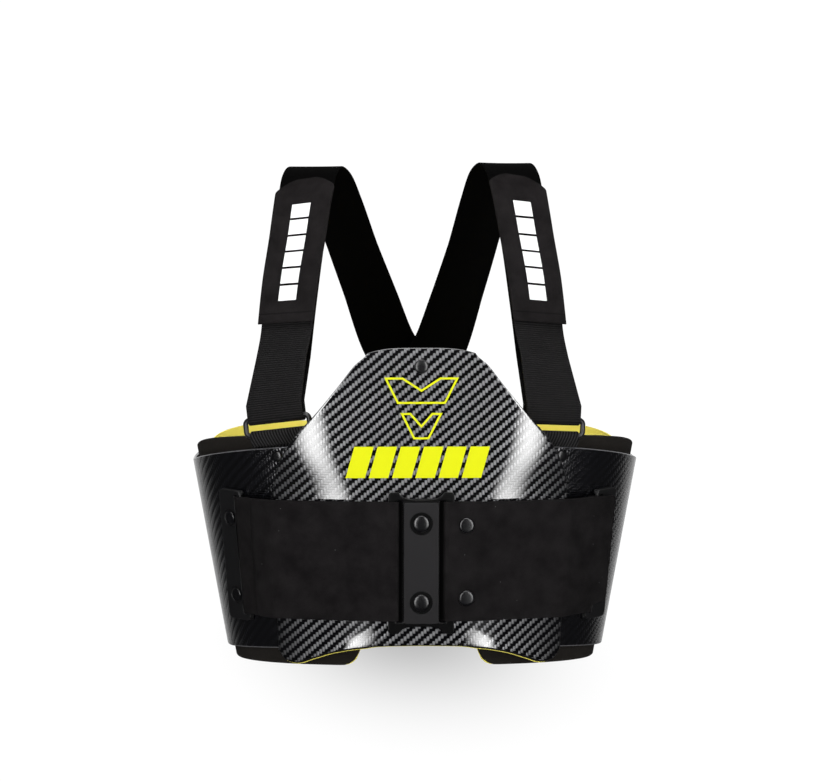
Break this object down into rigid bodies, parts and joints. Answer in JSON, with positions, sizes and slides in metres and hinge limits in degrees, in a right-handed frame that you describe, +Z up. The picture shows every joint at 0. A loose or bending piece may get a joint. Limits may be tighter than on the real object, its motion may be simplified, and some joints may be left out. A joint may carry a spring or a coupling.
{
  "type": "rib protector",
  "caption": "Rib and chest protector: glossy carbon shells over foam pads, elastic shoulder straps with hook-and-loop tabs, and a wide elastic closure through a moulded bridge.",
  "frame": {"origin": "midway between the two shoulder straps, at the height where they pass over the shoulders", "axes": "+Z up, front of the chest towards -Y, the wearer's left side towards +X"},
  "size_m": [0.385, 0.2941, 0.4274],
  "materials": {
    "carbon": "clear-coated black and grey twill, glossy",
    "foam": "black cloth-faced foam, matte",
    "lining": "yellow cloth, matte",
    "elastic": "black woven elastic, matte",
    "webbing": "black webbing, slight sheen",
    "tab": "black brushed hook-and-loop cloth, matte",
    "band": "black brushed elastic, matte",
    "plastic": "black moulded plastic, satin",
    "ring": "black moulded plastic, satin",
    "rivet": "black painted rivet, half gloss"
  },
  "bodies": {
    "root": {"chest_plate": "carbon", "back_plate": "carbon", "left_shell": "carbon", "right_shell": "carbon", "chest_pad": "foam", "left_pad": "foam", "right_pad": "foam", "chest_lining": "lining", "left_lining": "lining", "right_lining": "lining", "left_strap": "elastic", "right_strap": "elastic", "left_anchor": "webbing", "right_anchor": "webbing", "left_tab": "tab", "right_tab": "tab", "left_band": "band", "right_band": "band", "right_band_under": "band", "bridge": "plastic", "left_bracket": "plastic", "right_bracket": "plastic", "left_ring": "ring", "right_ring": "ring", "chest_rivet": "rivet", "bridge_rivet_upper": "rivet", "bridge_rivet_lower": "rivet", "band_rivet_upper": "rivet", "band_rivet_lower": "rivet", "left_bracket_rivet_upper": "rivet", "left_bracket_rivet_lower": "rivet", "left_anchor_rivet": "rivet", "left_back_rivet_upper": "rivet", "left_back_rivet_lower": "rivet", "left_strap_rivet": "rivet", "right_bracket_rivet_upper": "rivet", "right_bracket_rivet_lower": "rivet", "right_anchor_rivet": "rivet", "right_back_rivet_upper": "rivet", "right_back_rivet_lower": "rivet", "right_strap_rivet": "rivet"}
  },
  "joints": []
}
